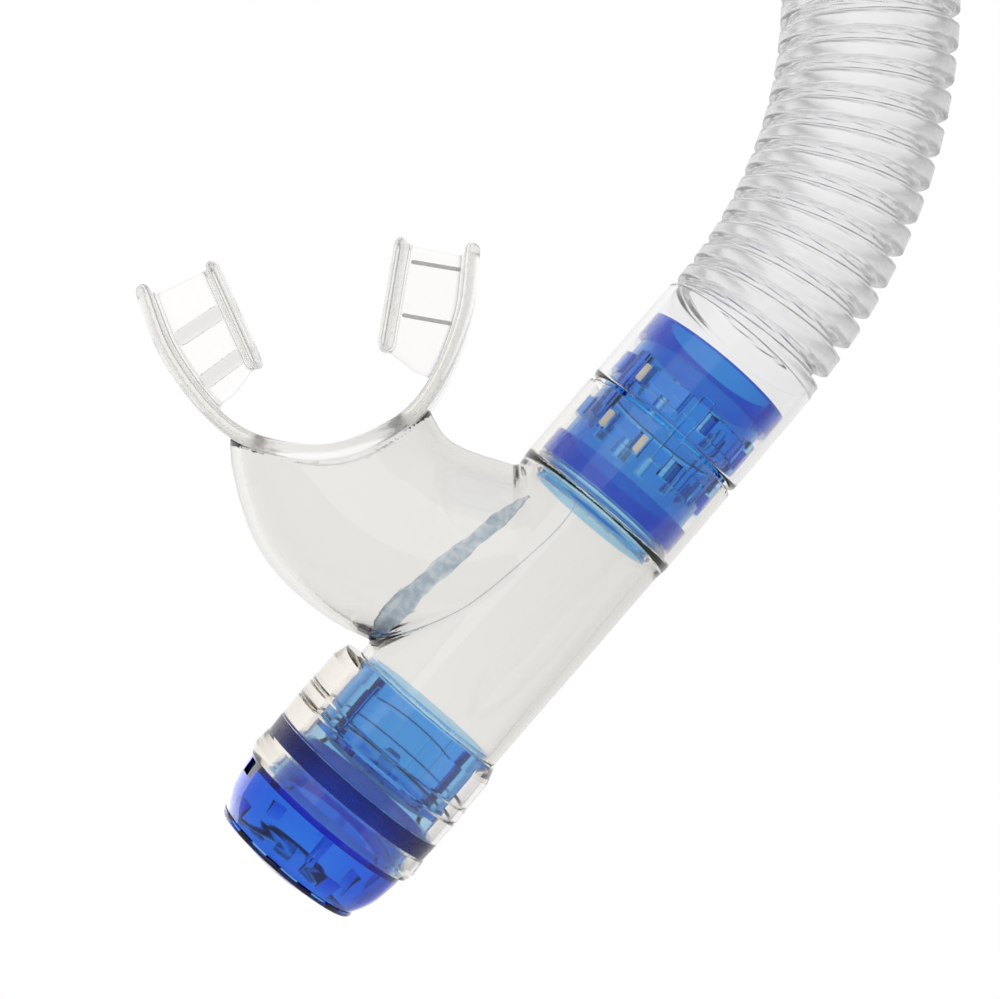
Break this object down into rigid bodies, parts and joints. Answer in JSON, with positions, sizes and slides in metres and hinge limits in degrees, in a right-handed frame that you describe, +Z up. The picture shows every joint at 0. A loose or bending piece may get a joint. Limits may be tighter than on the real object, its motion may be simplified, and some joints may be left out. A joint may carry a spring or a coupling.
{
  "type": "snorkel tube",
  "caption": "Clear snorkel with a U-shaped mouthpiece on a bulging chamber, blue purge valve, blue swivel coupler, ribbed flexible hose, straight barrel and dry-top cap.",
  "frame": {"origin": "middle of the strap slot in the keeper's clip, where the mask strap holds the snorkel", "axes": "+Z up along the barrel, -X towards the diver's mouth, XZ is the symmetry plane and +Y is across it"},
  "size_m": [0.1475, 0.0364, 0.3923],
  "materials": {
    "clear_shell": "clear gloss",
    "clear_silicone": "soft clear silicone",
    "clear_hose": "soft clear ribbed",
    "blue_plastic": "translucent gloss",
    "deep_blue": "translucent gloss",
    "blue_rubber": "satin",
    "seal_rubber": "translucent",
    "float_foam": "matte",
    "steel": "brushed"
  },
  "bodies": {
    "clip": {"strap_clip": "blue_plastic", "clip_pin": "steel"},
    "keeper": {"keeper_ring": "blue_plastic"},
    "barrel": {"barrel_tube": "clear_shell", "barrel_adapter": "blue_plastic", "barrel_band": "blue_rubber", "top_base": "blue_plastic", "top_seat": "blue_plastic", "top_cap": "deep_blue", "top_screws": "steel", "flex_hose": "clear_hose"},
    "float": {"float_ring": "float_foam", "float_seal": "seal_rubber"},
    "coupler": {"hose_ring": "blue_plastic", "neck_ring": "blue_plastic", "swivel_core": "deep_blue", "swivel_clip": "steel"},
    "chamber": {"chamber_body": "clear_shell", "mouthpiece": "clear_silicone", "purge_collar": "clear_shell", "purge_gasket": "blue_rubber", "purge_seat": "blue_plastic", "purge_cap": "deep_blue", "purge_end_plate": "deep_blue", "swivel_seal": "seal_rubber"},
    "flap": {"purge_diaphragm": "seal_rubber"}
  },
  "joints": [
    {"name": "clip_pivot", "type": "hinge", "parent": "clip", "child": "keeper", "pos_m": [0.0076, 0, 0], "axis": [0, 1, 0], "range_deg": [-12, 12]},
    {"name": "barrel_slide", "type": "slide", "parent": "keeper", "child": "barrel", "axis": [0, 0, 1], "range_m": [-0.045, 0.045]},
    {"name": "float_rise", "type": "slide", "parent": "barrel", "child": "float", "axis": [0, 0, 1], "range_m": [0, 0.005]},
    {"name": "hose_flex", "type": "hinge", "parent": "barrel", "child": "coupler", "pos_m": [0.025, 0, -0.14727], "axis": [0, 1, 0], "range_deg": [-30, 30], "stiffness_Nm_per_rad": 1.2, "deforming": ["flex_hose"]},
    {"name": "mouthpiece_swivel", "type": "hinge", "parent": "coupler", "child": "chamber", "pos_m": [-0.01297, 0, -0.19173], "axis": [0.6494, 0, 0.7604], "continuous": true},
    {"name": "flap_lift", "type": "slide", "parent": "chamber", "child": "flap", "axis": [-0.6494, 0, -0.7604], "range_m": [0, 0.0012], "stiffness_N_per_m": 60}
  ]
}
